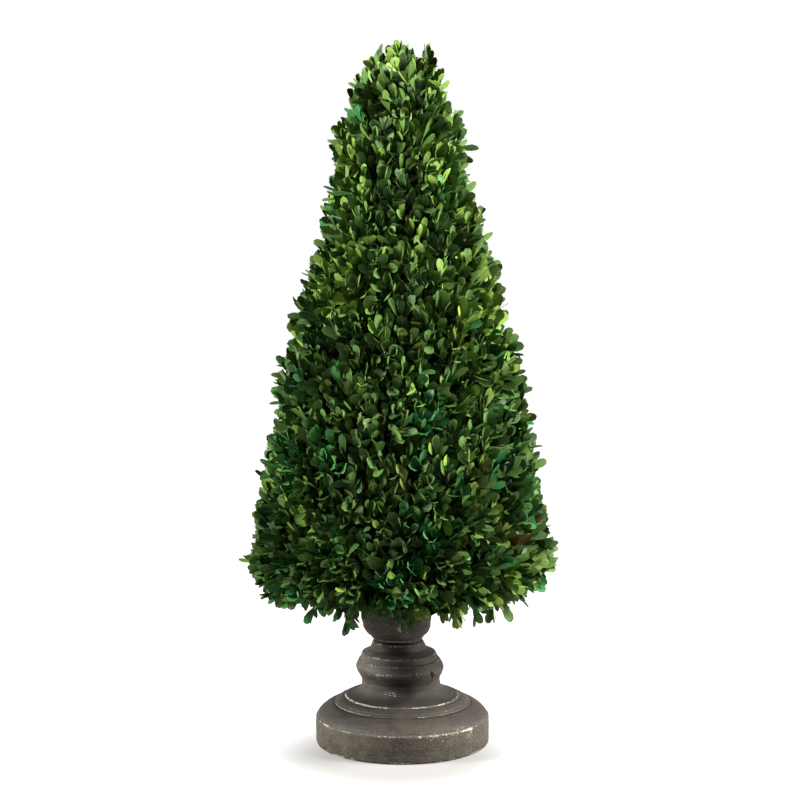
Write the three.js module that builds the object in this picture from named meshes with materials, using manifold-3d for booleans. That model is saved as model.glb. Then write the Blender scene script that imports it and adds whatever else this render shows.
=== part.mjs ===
// A boxwood cone topiary: a clipped cone of leafy sprigs, rising from the cup of a low turned pedestal.
// Millimetres, +Z up. The origin is the centre of the pedestal's flat underside.
import * as THREE from "three";
import { mergeVertices } from "three/addons/utils/BufferGeometryUtils.js";
import Module from "manifold-3d";

const wasm = await Module();
wasm.setup();

// Driving dimensions
const TOTAL_HEIGHT = 760;
const CROWN_RADIUS = 165; // at the widest, just above the skirt
const PLINTH_RADIUS = 95;
const GAP = 0.4; // between pieces that touch

// Pedestal, from the floor up: heights of its joints, and radii of its mouldings
const PLINTH_SIDE_TOP = 31;
const PLINTH_EDGE = 2;
const SHOULDER_TOP = 44.4;
const SHOULDER_RADIUS = 74.6;
const SHOULDER_BOW = 2.5;
const STEP_RADIUS = 73.6;
const STEP_TOP = 52;
const STEP_TOP_RADIUS = 62.4;
const NECK_RADIUS = 42.8;
const NECK_START = 66;
const NECK_TOP = 75;
const KNOP_EDGE_RADIUS = 44.8;
const KNOP_RADIUS = 47.9;
const KNOP_WIDEST = 85.5;
const KNOP_FILLET_HEIGHTS = [93, 100.4];
const KNOP_FILLET_RADII = [43.8, 39.8];
const WAIST_RADIUS = 24.2;
const WAIST_TOP = 116;
const CUP_FOOT_RADIUS = 28.6;
const CUP_FOOT_HEIGHT = 3;
const CUP_RADIUS = 38.4;
const CUP_BULGE_TOP = 136;
const CUP_RIM = 152;
const CUP_WALL = 3.6;
const CUP_FLOOR = 126;
const CUP_CORNER = 6;
const FILL_TOP = 148;
const ROUND = 0.55; // how full a quarter-round moulding is; a smaller number is flatter
const SLACK_ROUND = 0.28;
const TURNED_LEAN = THREE.MathUtils.degToRad(3.7); // the turned pieces stand a little off the plinth's axis

// Stem: a flat cut at the fill, a flared root, a taper and a slight bend
const STEM_TOP = 430;
const STEM_ROOT_RADIUS = 15;
const STEM_RADIUS = 9.5;
const STEM_TIP_RADIUS = 4;
const STEM_FLARE_HEIGHT = 26;
const STEM_BEND = 3;
const STEM_CLEARANCE = 0.5;

// Crown
const CROWN_AXIS_X = -2.2;
const CROWN_BOTTOM = 150;
const CROWN_WIDEST = 205;
const CROWN_SHOULDER = 722; // above this the crown closes over in a loose tip
const SHOULDER_OF_TIP_RADIUS = 44;
const UNDERSIDE_RADIUS = 112;
const UNDERSIDE_HOLLOW = 9; // the underside rises this much towards the cup
const CROWN_BULGE = 5; // how far the cone's side bows out between skirt and tip
const TIP_POWER = 0.6; // a smaller number makes the tip blunter
const SEAM_HEIGHTS = [236, 362, 490, 618]; // mean heights of the seams between the masses
const SEAM_WAVE = 11;
const MASS_SWELL = 3; // each mass swells this much between its seams
const ROUGHNESS = 4.8; // how far the clipped face goes in and out
const TIP_ROUGHNESS = 2.2;
const WAVE_ROUNDS = [2, 8]; // fewest and most swells round the crown in one wave of its unevenness
const WAVE_RISES = [60, 150]; // shortest and longest such wave up the crown
const CROWN_SEED = 41;

const CROWN_SEGMENTS = 32;
const PEDESTAL_SEGMENTS = 44;
const STEM_SEGMENTS = 12;
const STEM_RINGS = 12;
const STEM_RING_CROWDING = 1.4; // rings lie closer together towards the flared root
const CAP_FRACTIONS = [0.35, 0.7]; // rings across a mass's underside and top
const SIDE_ROWS = 6;
const TIP_SIDE_ROWS = 9;

const TAU = 2 * Math.PI;
const MASS_NAMES = ["foliage_skirt", "foliage_lower", "foliage_middle", "foliage_upper", "foliage_tip"];
const MASSES_ROUND_STEM = 3; // counted from the skirt up

// Materials
const WORN_WOOD = new THREE.MeshStandardMaterial({ color: 0x5b5448, roughness: 0.72, metalness: 0 });
const DARK_FILL = new THREE.MeshStandardMaterial({ color: 0x2e2a22, roughness: 0.95, metalness: 0 });
const BARK = new THREE.MeshStandardMaterial({ color: 0x6a5b43, roughness: 0.9, metalness: 0 });
const LEAF_COLOURS = [0x2c4a26, 0x30502a, 0x35582c, 0x416433, 0x557536];

const group = new THREE.Group();

function addMesh(name, geometry, material) {
  const mesh = new THREE.Mesh(geometry, material);
  mesh.name = name;
  group.add(mesh);
  return mesh;
}

// Turns a profile, drawn as radius against height, about the Z axis.
function turned(points, segments) {
  return new THREE.LatheGeometry(points, segments).rotateX(Math.PI / 2);
}

// Moves every vertex of a geometry by a function of its position.
function reshape(geometry, move) {
  const position = geometry.getAttribute("position");
  const point = new THREE.Vector3();
  for (let i = 0; i < position.count; i++) {
    point.fromBufferAttribute(position, i);
    move(point);
    position.setXYZ(i, point.x, point.y, point.z);
  }
  return geometry;
}

function solidOf(geometry) {
  const bare = geometry.clone();
  bare.deleteAttribute("normal");
  bare.deleteAttribute("uv");
  const merged = mergeVertices(bare, 1e-3);
  const vertProperties = merged.getAttribute("position").array;
  const triVerts = new Uint32Array(merged.index.array);
  return new wasm.Manifold(new wasm.Mesh({ numProp: 3, vertProperties, triVerts }));
}

function geometryOf(solid) {
  const mesh = solid.getMesh();
  const geometry = new THREE.BufferGeometry();
  geometry.setAttribute("position", new THREE.BufferAttribute(mesh.vertProperties, 3));
  geometry.setIndex(new THREE.BufferAttribute(mesh.triVerts, 1));
  geometry.computeVertexNormals();
  return geometry;
}

// A repeatable stream of numbers from 0 to 1.
function seededRandom(seed) {
  let state = seed;
  return () => {
    state = (state * 1664525 + 1013904223) % 4294967296;
    return state / 4294967296;
  };
}

// How far the turned pieces stand to one side at a height.
function leanOffset(z) {
  return -Math.tan(TURNED_LEAN) * Math.max(0, z - SHOULDER_TOP);
}

function leaned(geometry) {
  return reshape(geometry, (p) => {
    p.x += leanOffset(p.z);
  });
}

// Pedestal

// A quarter-round from the outline's last point to another. One that leaves level is hollow where the outline
// narrows and full where it widens.
function quarterTo(outline, radius, z, leavesLevel, fullness = ROUND) {
  const { x: fromRadius, y: fromZ } = outline.currentPoint;
  const { lerp } = THREE.MathUtils;
  if (leavesLevel) {
    const bendRadius = lerp(fromRadius, radius, fullness);
    const bendZ = lerp(z, fromZ, fullness);
    outline.bezierCurveTo(bendRadius, fromZ, radius, bendZ, radius, z);
  } else {
    const bendRadius = lerp(radius, fromRadius, fullness);
    const bendZ = lerp(fromZ, z, fullness);
    outline.bezierCurveTo(fromRadius, bendZ, bendRadius, z, radius, z);
  }
}

function plinth() {
  const edgeRadius = PLINTH_RADIUS - PLINTH_EDGE;
  const outline = new THREE.Path();
  outline.moveTo(0, 0);
  outline.lineTo(edgeRadius, 0);
  quarterTo(outline, PLINTH_RADIUS, PLINTH_EDGE, true);
  outline.lineTo(PLINTH_RADIUS, PLINTH_SIDE_TOP - PLINTH_EDGE);
  quarterTo(outline, edgeRadius, PLINTH_SIDE_TOP, false);
  outline.quadraticCurveTo(
    (edgeRadius + SHOULDER_RADIUS) / 2, (PLINTH_SIDE_TOP + SHOULDER_TOP) / 2 + SHOULDER_BOW,
    SHOULDER_RADIUS, SHOULDER_TOP,
  );
  outline.lineTo(0, SHOULDER_TOP);
  return turned(outline.getPoints(3), PEDESTAL_SEGMENTS);
}

function neck() {
  const bottom = SHOULDER_TOP + GAP;
  const outline = new THREE.Path();
  outline.moveTo(0, bottom);
  outline.lineTo(STEP_RADIUS, bottom);
  quarterTo(outline, STEP_TOP_RADIUS, STEP_TOP, false, SLACK_ROUND);
  quarterTo(outline, NECK_RADIUS, NECK_START, true);
  outline.lineTo(NECK_RADIUS, NECK_TOP);
  outline.lineTo(0, NECK_TOP);
  return leaned(turned(outline.getPoints(4), PEDESTAL_SEGMENTS));
}

function knop() {
  const bottom = NECK_TOP + GAP;
  const outline = new THREE.Path();
  outline.moveTo(0, bottom);
  outline.lineTo(KNOP_EDGE_RADIUS, bottom);
  quarterTo(outline, KNOP_RADIUS, KNOP_WIDEST, true);
  KNOP_FILLET_RADII.forEach((radius, i) => outline.lineTo(radius, KNOP_FILLET_HEIGHTS[i]));
  quarterTo(outline, WAIST_RADIUS, WAIST_TOP, true, SLACK_ROUND);
  outline.lineTo(0, WAIST_TOP);
  return leaned(turned(outline.getPoints(4), PEDESTAL_SEGMENTS));
}

function cup() {
  const bottom = WAIST_TOP + GAP;
  const inner = CUP_RADIUS - CUP_WALL;
  const outline = new THREE.Path();
  outline.moveTo(0, bottom);
  outline.lineTo(WAIST_RADIUS, bottom);
  outline.lineTo(CUP_FOOT_RADIUS, bottom + CUP_FOOT_HEIGHT);
  quarterTo(outline, CUP_RADIUS, CUP_BULGE_TOP, true);
  outline.lineTo(CUP_RADIUS, CUP_RIM);
  outline.lineTo(inner, CUP_RIM);
  outline.lineTo(inner, CUP_FLOOR + CUP_CORNER);
  outline.lineTo(inner - CUP_CORNER, CUP_FLOOR);
  outline.lineTo(0, CUP_FLOOR);
  return leaned(turned(outline.getPoints(4), PEDESTAL_SEGMENTS));
}

// What the cup is packed with, up to just under its rim.
function cupFill() {
  const radius = CUP_RADIUS - CUP_WALL - GAP;
  const bottom = CUP_FLOOR + GAP;
  const outline = new THREE.Path();
  outline.moveTo(0, bottom);
  outline.lineTo(radius - CUP_CORNER, bottom);
  outline.lineTo(radius, bottom + CUP_CORNER);
  outline.lineTo(radius, FILL_TOP);
  outline.lineTo(0, FILL_TOP);
  return leaned(turned(outline.getPoints(), PEDESTAL_SEGMENTS));
}

// Stem

function stemRadius(z) {
  const taper = THREE.MathUtils.mapLinear(z, FILL_TOP, STEM_TOP, STEM_RADIUS, STEM_TIP_RADIUS);
  const flare = Math.max(0, 1 - (z - FILL_TOP) / STEM_FLARE_HEIGHT);
  return taper + (STEM_ROOT_RADIUS - STEM_RADIUS) * flare ** 2;
}

// The stem rises from the middle of the fill to the crown's axis, with a slight bend on the way.
function stemCentre(z) {
  const t = THREE.MathUtils.clamp((z - FILL_TOP) / (STEM_TOP - FILL_TOP), 0, 1);
  const x = THREE.MathUtils.lerp(leanOffset(FILL_TOP), CROWN_AXIS_X, t);
  return new THREE.Vector2(x + STEM_BEND * Math.sin(Math.PI * t), -STEM_BEND * Math.sin(TAU * t));
}

function stemGeometry(clearance) {
  const bottom = FILL_TOP + GAP - clearance;
  const top = STEM_TOP + clearance;
  const outline = [new THREE.Vector2(0, bottom)];
  for (let i = 0; i <= STEM_RINGS; i++) {
    const z = THREE.MathUtils.lerp(bottom, top, (i / STEM_RINGS) ** STEM_RING_CROWDING);
    outline.push(new THREE.Vector2(stemRadius(z) + clearance, z));
  }
  outline.push(new THREE.Vector2(0, top));
  return reshape(turned(outline, STEM_SEGMENTS), (p) => {
    const centre = stemCentre(p.z);
    p.x += centre.x;
    p.y += centre.y;
  });
}

// Crown

// The clipped outline: an elliptic skirt edge, a slightly bowed cone, and a loose tip.
function outlineRadius(z) {
  if (z < CROWN_WIDEST) {
    const drop = Math.min(1, (CROWN_WIDEST - z) / (CROWN_WIDEST - CROWN_BOTTOM));
    return UNDERSIDE_RADIUS + (CROWN_RADIUS - UNDERSIDE_RADIUS) * Math.sqrt(1 - drop * drop);
  }
  if (z < CROWN_SHOULDER) {
    const t = (z - CROWN_WIDEST) / (CROWN_SHOULDER - CROWN_WIDEST);
    const straight = THREE.MathUtils.lerp(CROWN_RADIUS, SHOULDER_OF_TIP_RADIUS, t);
    return straight + CROWN_BULGE * Math.sin(Math.PI * t);
  }
  const t = Math.min(1, (z - CROWN_SHOULDER) / (TOTAL_HEIGHT - CROWN_SHOULDER));
  return SHOULDER_OF_TIP_RADIUS * (1 - t) ** TIP_POWER;
}

// Smooth unevenness from -1 to 1 over the crown's face: a few waves that close on themselves round the axis.
function unevenness(seed) {
  const random = seededRandom(seed);
  const waves = [];
  for (let round = WAVE_ROUNDS[0]; round <= WAVE_ROUNDS[1]; round++) {
    const rise = THREE.MathUtils.lerp(...WAVE_RISES, random());
    waves.push({ round, rise, phase: TAU * random(), turn: random() < 0.5 ? -1 : 1 });
  }
  return (angle, z) => {
    let sum = 0;
    for (const wave of waves) {
      sum += Math.cos(wave.round * angle + (wave.turn * TAU * z) / wave.rise + wave.phase);
    }
    return sum / Math.sqrt(2 * waves.length);
  };
}

const faceUnevenness = unevenness(CROWN_SEED);
const seamUnevenness = unevenness(CROWN_SEED + 1);

function faceRadius(angle, z) {
  const outline = outlineRadius(z);
  const rough = THREE.MathUtils.lerp(TIP_ROUGHNESS, ROUGHNESS, Math.min(1, outline / CROWN_RADIUS));
  const fade = Math.min(1, outline / SHOULDER_OF_TIP_RADIUS);
  return outline + rough * fade * faceUnevenness(angle, z);
}

// The wavy seam between two masses; seam 0 is the crown's underside and the last one its top.
function seamHeight(seam, fraction, angle) {
  if (seam === 0) return CROWN_BOTTOM + UNDERSIDE_HOLLOW * (1 - fraction ** 2);
  if (seam > SEAM_HEIGHTS.length) return TOTAL_HEIGHT;
  return SEAM_HEIGHTS[seam - 1] + SEAM_WAVE * fraction * seamUnevenness(angle, SEAM_HEIGHTS[seam - 1]);
}

// A drum of radius 1 and height 1, reshaped to fill the crown between two seams.
function foliageMass(index) {
  const isTip = index === MASS_NAMES.length - 1;
  const sideRows = isTip ? TIP_SIDE_ROWS : SIDE_ROWS;
  const drum = [new THREE.Vector2(0, 0)];
  CAP_FRACTIONS.forEach((fraction) => drum.push(new THREE.Vector2(fraction, 0)));
  for (let row = 0; row < sideRows; row++) {
    drum.push(new THREE.Vector2(1, row / sideRows));
  }
  if (!isTip) {
    drum.push(new THREE.Vector2(1, 1));
    CAP_FRACTIONS.toReversed().forEach((fraction) => drum.push(new THREE.Vector2(fraction, 1)));
  }
  drum.push(new THREE.Vector2(0, 1));
  const trimLow = index === 0 ? 0 : GAP / 2;
  const trimHigh = isTip ? 0 : GAP / 2;
  return reshape(turned(drum, CROWN_SEGMENTS), (p) => {
    const fraction = Math.min(1, Math.hypot(p.x, p.y));
    const angle = Math.atan2(p.y, p.x);
    const low = seamHeight(index, fraction, angle) + trimLow;
    const high = seamHeight(index + 1, fraction, angle) - trimHigh;
    const z = THREE.MathUtils.lerp(low, high, p.z);
    const swell = MASS_SWELL * Math.sin(Math.PI * p.z);
    const radius = fraction * (faceRadius(angle, z) + swell);
    p.set(CROWN_AXIS_X + radius * Math.cos(angle), radius * Math.sin(angle), z);
  });
}

addMesh("pedestal_plinth", plinth(), WORN_WOOD);
addMesh("pedestal_neck", neck(), WORN_WOOD);
addMesh("pedestal_knop", knop(), WORN_WOOD);
addMesh("pedestal_cup", cup(), WORN_WOOD);
addMesh("cup_fill", cupFill(), DARK_FILL);
addMesh("stem", stemGeometry(0), BARK);

const stemRoom = solidOf(stemGeometry(STEM_CLEARANCE));
MASS_NAMES.forEach((name, index) => {
  const colour = LEAF_COLOURS[index];
  const leaves = new THREE.MeshStandardMaterial({ color: colour, roughness: 0.6, metalness: 0 });
  const whole = foliageMass(index);
  const shape = index < MASSES_ROUND_STEM ? geometryOf(solidOf(whole).subtract(stemRoom)) : whole;
  addMesh(name, shape, leaves);
});

export default group;
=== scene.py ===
"""The looks of a boxwood cone topiary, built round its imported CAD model. Metres, +Z up.

The CAD masses give the crown's outline. A seeded branching rule fills it: boughs leave the stem,
branchlets leave the boughs, sprigs leave the branchlets and end at the clipped face, and each carries its
leaves in pairs. The pedestal is turned from one outline, worn and chipped, and cut into the CAD's pieces.
"""

import math

import bpy
import numpy as np
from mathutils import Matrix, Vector
from mathutils.bvhtree import BVHTree


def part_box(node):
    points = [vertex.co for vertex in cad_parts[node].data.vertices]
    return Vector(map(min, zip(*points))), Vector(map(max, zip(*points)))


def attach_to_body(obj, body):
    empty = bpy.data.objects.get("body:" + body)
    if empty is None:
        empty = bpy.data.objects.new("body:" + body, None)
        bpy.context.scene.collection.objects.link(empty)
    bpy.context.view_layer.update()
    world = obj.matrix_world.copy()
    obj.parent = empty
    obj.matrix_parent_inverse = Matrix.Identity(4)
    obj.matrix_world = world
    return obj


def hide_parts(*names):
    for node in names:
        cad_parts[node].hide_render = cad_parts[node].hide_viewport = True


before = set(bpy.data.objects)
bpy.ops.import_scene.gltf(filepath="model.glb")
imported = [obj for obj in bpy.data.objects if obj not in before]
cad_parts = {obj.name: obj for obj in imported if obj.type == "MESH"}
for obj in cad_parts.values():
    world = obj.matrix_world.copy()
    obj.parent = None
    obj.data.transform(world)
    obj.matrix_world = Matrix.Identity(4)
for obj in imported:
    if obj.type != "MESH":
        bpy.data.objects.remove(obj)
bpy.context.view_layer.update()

MM = 0.001
TAU = 2 * math.pi
GOLDEN_ANGLE = math.pi * (3 - math.sqrt(5))
SEED = 20
UP = np.array([0.0, 0.0, 1.0])
BAKE_MAP = "OFBake"

MASSES = sorted(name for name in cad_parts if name.startswith("foliage_"))
CUP_LOW, CUP_HIGH = (np.array(corner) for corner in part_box("pedestal_cup"))
CROWN_LOW_Z = min(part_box(name)[0][2] for name in MASSES)
CROWN_HIGH_Z = max(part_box(name)[1][2] for name in MASSES)

# Crown: how many limbs of each kind, and how far under the clipped face they end
BOUGH_COUNT = 76
BRANCHLET_COUNT = 460
SPRIG_COUNT = 2200
INNER_SPRIG_COUNT = 760  # old growth that keeps the crown dense behind its face
BOUGH_DEPTH = 0.055
BRANCHLET_DEPTH = 0.027
SPRIG_DEPTH = 0.012  # measured back along the sprig, so that the tip leaves reach the face
MOST_DEPTH_SHARE = 0.45  # of the crown's radius, where it is narrow
BOUGH_WANDER = 0.15  # radians by which each kind of limb strays from the growth direction
BRANCHLET_WANDER = 0.20
SPRIG_WANDER = 0.11
BRANCHLET_RADIUS = 1.5 * MM  # where the limb starts
SPRIG_RADIUS = 0.85 * MM
HANDLE_SHARE = 0.36  # of a limb's length, for the straight run at each end of its curve
BARE_FOOT = 0.012  # no boughs leave the stem this close to its cut, or this close to its tip
BARE_TOP = 0.006
SWIRL = 0.18  # how far neighbouring sprigs lean the same way
SWIRL_SIZE = 0.055
SPRIG_REACH = 0.034  # length that a sprig has when it can choose where it leaves its branchlet
BARE_RADIUS = 0.036  # round the cup the underside carries no sprigs

# Growth direction above the horizon, by height in the crown from 0 at its underside to 1 at its tip
RISE_HEIGHTS = (0.0, 0.05, 0.10, 0.18, 0.28, 0.45, 0.74, 0.93, 1.0)
RISE_DEGREES = (-58, -20, 10, 44, 66, 74, 76, 80, 88)

# Sprigs that stand out of the face: their end's angle in degrees, radius and height, and rise in degrees
PLACED_SPRIGS = (
    (-110, 0.006, 0.744, 84), (-8, 0.028, 0.741, 88),
    (-165, 0.026, 0.728, 38), (-80, 0.040, 0.719, 66),
    (-139, 0.076, 0.150, -80), (-133, 0.084, 0.153, -58),
    (-92, 0.052, 0.150, -75), (-84, 0.060, 0.156, -50),
    (-37, 0.070, 0.153, -78), (-28, 0.088, 0.154, -74),
    (-20, 0.104, 0.154, -70), (-12, 0.112, 0.156, -66),
    (-154, 0.104, 0.161, -60), (-6, 0.124, 0.170, -46),
    (60, 0.080, 0.153, -72), (135, 0.084, 0.152, -76),
)
# How uneven the clipped face is: lumps and hollows this wide and deep, deeper ones along the lower edge
LUMP_SIZE = 0.035
LUMP_DEPTH = 0.005
RAGGED_DEPTH = 0.009
RAGGED_LIFT = 0.013  # how much shorter the lower edge is clipped
RAGGED_HEIGHT = 0.10  # share of the crown's height over which its lower edge is ragged
FACE_DEPTH = 0.002  # of most sprigs under the face
FACE_SPREAD = 0.0035
DEEP_SHARE = 0.22  # of the sprigs end deeper, within this range
DEEP_RANGE = (0.006, 0.020)
STRAY_SHARE = 0.03  # of them stand out, within this range
STRAY_RANGE = (0.004, 0.009)
INNER_RANGE = (0.018, 0.068)  # depths of the old growth
CLOSE_ANGLE = math.radians(180)  # where the clipping cut closest: its middle, half widths and depth
CLOSE_SWEEP = 0.8
CLOSE_HEIGHT = 0.69
CLOSE_SPAN = 0.06
CLOSE_DEPTH = 0.011
RAY_START = 0.10  # rays that look for the face start this far outside the mean outline
RAY_LENGTH = 0.16

# Leaves
LEAF_LENGTH = 0.0238
LEAF_WIDTHS = (0.0106, 0.0091)  # at the crown's underside and at its tip
LEAF_THICKNESS = 0.0005
INNER_LEAF_SCALE = 1.2
LEAF_PAIRS = 4
PAIR_SPACING = 0.0072
LEAN_DEGREES = (9, 16, 27)  # away from the sprig: tip pair, second pair, lowest pair
PAIR_LENGTHS = (0.78, 0.97, 1.04, 0.98)  # from the tip pair down
BARE_SHARE = 0.12  # of the sprig's length, at its foot
FACING = (0.50, 0.32)  # how far leaves turn to face outwards: mean and spread
ROLL_SPREAD = 0.22
TWIST_SPREAD = 0.13
ARCH = (-0.04, 0.18)  # the bend along a leaf in radians: mean and spread
FOLDED_SHARE = 0.62  # leaves folded up along the midrib, where the others curl down
FOLD_RANGE = (0.08, 0.36)
CURL_RANGE = (-0.24, -0.04)
OWN_TINT_CHANCE = 0.22  # sprigs whose tint isn't their spray's
FRESHER_CHANCES = (0.06, 0.48)  # of young leaves in the tip pair, at the underside and at the tip
LEAF_CELLS = 4  # the bake map holds this many by this many leaf patterns
PIECE_TRIANGLES = 190_000


def smoothstep(low, high, value):
    t = np.clip((value - low) / (high - low), 0, 1)
    return t * t * (3 - 2 * t)


def band(value, rise_start, rise_end, fall_start, fall_end):
    """1 between the two middle limits, 0 beyond the outer ones."""
    return smoothstep(rise_start, rise_end, value) * smoothstep(fall_end, fall_start, value)


def near(value, centre, width, power=2):
    """1 at the centre, falling to 0 over about this width."""
    return np.exp(-(((value - centre) / width) ** power))


def near_angle(angle, centre, width):
    """1 at an angle round the axis, falling to 0 over about this width."""
    return near(np.angle(np.exp(1j * (angle - centre))), 0, width)


def bell(offsets, width):
    """A smoothing kernel's weights at these offsets."""
    weights = np.exp(-((offsets / width) ** 2) / 2)
    return weights / weights.sum()


def smoothed(rows, kernel):
    """The rows, smoothed along their order by an odd kernel."""
    reach = len(kernel) // 2
    columns = [np.convolve(np.pad(column, reach, "edge"), kernel, "valid") for column in rows.T]
    return np.stack(columns, -1)


def cubic_weights(t):
    """How much each of a cubic curve's four control points counts at t."""
    return (1 - t) ** 3, 3 * t * (1 - t) ** 2, 3 * t * t * (1 - t), t ** 3


def full_turn(count):
    """Angles at an even step once round."""
    return np.arange(count) * TAU / count


def cylindrical(angle, radius, height):
    """Points at these angles, radii and heights round the Z axis."""
    angle, radius, height = np.broadcast_arrays(angle, radius, height)
    return np.stack([radius * np.cos(angle), radius * np.sin(angle), height], -1)


def radial(angle):
    """The level unit vectors at these angles round the Z axis."""
    return cylindrical(angle, 1.0, 0.0)


def unit(vectors):
    """The vectors along the last axis at length 1."""
    return vectors / np.maximum(np.linalg.norm(vectors, axis=-1, keepdims=True), 1e-12)


def square_to(vectors, axis):
    """What is left of the vectors at right angles to a unit axis, at length 1."""
    return unit(vectors - (vectors * axis).sum(-1, keepdims=True) * axis)


def between(first, second, angle):
    """The directions at these angles from the first ones towards the second."""
    angle = angle[..., None]
    return first * np.cos(angle) + second * np.sin(angle)


def lattice(cells, seed):
    """A repeatable number from 0 to 1 for each whole-number corner of a grid."""
    x, y, z = (cells[..., i].astype(np.uint32) for i in range(3))
    mixed = (x * np.uint32(374761393)) ^ (y * np.uint32(668265263)) ^ (z * np.uint32(2147483647))
    mixed = mixed ^ np.uint32(seed * 974711 + 12345)
    mixed = (mixed ^ (mixed >> np.uint32(13))) * np.uint32(1274126177)
    mixed = (mixed ^ (mixed >> np.uint32(15))) * np.uint32(2246822519)
    return ((mixed ^ (mixed >> np.uint32(16))) & np.uint32(0xFFFFFF)) / float(0xFFFFFF)


def noise(points, size, seed):
    """Smooth noise from -1 to 1 whose lumps are about size across."""
    scaled = np.asarray(points) / size + 1000.0
    corner = np.floor(scaled).astype(np.int64)
    t = scaled - corner
    t = t * t * (3 - 2 * t)
    total = 0.0
    for steps in np.ndindex(2, 2, 2):
        weight = 1.0
        for axis, step in enumerate(steps):
            weight = weight * (t[..., axis] if step else 1 - t[..., axis])
        total = total + weight * lattice(corner + steps, seed)
    return 2 * total - 1


def joined_mesh(name, copies, faces, uvs=None, rim=None):
    """One mesh object of many copies of a small mesh.

    copies is (copy, vertex, 3), faces the faces of one copy, uvs (copy, corner, 2), and rim the vertices of
    one copy between which an edge is sharp.
    """
    count, size = copies.shape[:2]
    corners = np.concatenate(faces)
    face_starts = np.cumsum([0] + [len(face) for face in faces[:-1]])
    first_vertex = np.arange(count)[:, None] * size
    first_corner = np.arange(count)[:, None] * len(corners)
    mesh = bpy.data.meshes.new(name)
    mesh.vertices.add(count * size)
    mesh.vertices.foreach_set("co", copies.astype(np.float32).ravel())
    mesh.loops.add(count * len(corners))
    mesh.loops.foreach_set("vertex_index", (first_vertex + corners).astype(np.int32).ravel())
    mesh.polygons.add(count * len(faces))
    mesh.polygons.foreach_set("loop_start", (first_corner + face_starts).astype(np.int32).ravel())
    mesh.polygons.foreach_set("use_smooth", np.ones(count * len(faces), dtype=bool))
    mesh.update(calc_edges=True)
    if uvs is not None:
        layer = mesh.uv_layers.new(name=BAKE_MAP)
        layer.data.foreach_set("uv", uvs.astype(np.float32).ravel())
    if rim is not None:
        ends = np.empty(2 * len(mesh.edges), dtype=np.int32)
        mesh.edges.foreach_get("vertices", ends)
        on_rim = np.isin(ends % size, rim).reshape(-1, 2).all(axis=1)
        sharp = mesh.attributes.new("sharp_edge", "BOOLEAN", "EDGE")
        sharp.data.foreach_set("value", on_rim)
    mesh.validate()
    piece = bpy.data.objects.new(name, mesh)
    bpy.context.collection.objects.link(piece)
    return piece


def ring_faces(rings, sides):
    """The faces between rings of vertices, one ring after the other."""
    faces = []
    for ring in range(rings - 1):
        for side in range(sides):
            here = ring * sides + side
            beside = ring * sides + (side + 1) % sides
            faces.append((here, beside, beside + sides, here + sides))
    return faces


def declare(piece, material, slot, *nodes):
    """Gives the piece its material, hangs it on one body, as there are no joints, and hides the CAD parts
    that it stands for.
    """
    piece.data.materials.append(material)
    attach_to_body(piece, "root")
    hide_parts(*nodes)


# ---------------- crown outline, read from the CAD masses


def world_vertices(node):
    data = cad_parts[node]
    return np.array([data.matrix_world @ vertex.co for vertex in data.data.vertices])


def crown_surface():
    """A search tree over the faces of all the crown's masses."""
    corners = []
    faces = []
    for name in MASSES:
        first = len(corners)
        corners.extend(world_vertices(name))
        faces.extend([first + i for i in face.vertices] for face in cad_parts[name].data.polygons)
    return BVHTree.FromPolygons(corners, faces)


CROWN = crown_surface()
CROWN_AXIS = np.mean([sum(np.array(corner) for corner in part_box(name)) / 2 for name in MASSES], axis=0)
CROWN_AXIS[2] = 0


def crown_radius(angle, z, start=0.5):
    """The crown's radius at one angle and height, or 0 where a level ray misses it."""
    outward = radial(angle)
    origin = CROWN_AXIS + outward * start + UP * z
    hit = CROWN.ray_cast(origin, -outward)[3]
    return 0.0 if hit is None else max(0.0, start - hit)


def generatrix(step=0.004, angles=24):
    """The crown's mean outline as (radius, height) points: out along the underside, then up to the tip."""
    heights = np.arange(CROWN_LOW_Z + step / 2, CROWN_HIGH_Z - step / 2, step)
    side = [(np.mean([crown_radius(angle, z) for angle in full_turn(angles)]), z) for z in heights]
    inner = np.arange(BARE_RADIUS, side[0][0] - step, step)
    underside = [(radius, CROWN_LOW_Z) for radius in inner]
    return np.array(underside + side + [(0.0, CROWN_HIGH_Z)])


def surface_targets(count, outline, rng, spread=0.35):
    """Points spread evenly over the crown by the golden angle, with their outward directions and angles."""
    middle = (outline[1:] + outline[:-1]) / 2
    steps = np.diff(outline, axis=0)
    area = np.concatenate([[0], np.cumsum(middle[:, 0] * np.hypot(*steps.T))])
    share = (np.arange(count) + 0.5 + spread * rng.uniform(-1, 1, count)) / count
    reached = share * area[-1]
    radius, height = (np.interp(reached, area, column) for column in outline.T)
    normals = unit(np.stack([steps[:, 1], -steps[:, 0]], -1))
    smooth = smoothed(normals, np.ones(5) / 5)
    slot = np.clip(np.searchsorted(area, reached) - 1, 0, len(smooth) - 1)
    spacing = TAU * area[-1] / count
    angle = np.arange(count) * GOLDEN_ANGLE
    angle += spread * rng.uniform(-1, 1, count) * np.sqrt(spacing) / np.maximum(radius, 0.02)
    out = unit(smooth[slot])
    outward = radial(angle) * out[:, :1] + UP * out[:, 1:]
    points = CROWN_AXIS + cylindrical(angle, radius, height)
    for i in range(count):
        origin = points[i] + outward[i] * RAY_START
        hit = CROWN.ray_cast(origin, -outward[i], RAY_LENGTH)[0]
        if hit is not None:
            points[i] = hit
    return points, outward, angle


def crown_height(points):
    """0 at the crown's underside, 1 at its tip."""
    return np.clip((points[..., 2] - CROWN_LOW_Z) / (CROWN_HIGH_Z - CROWN_LOW_Z), 0, 1)


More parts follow.
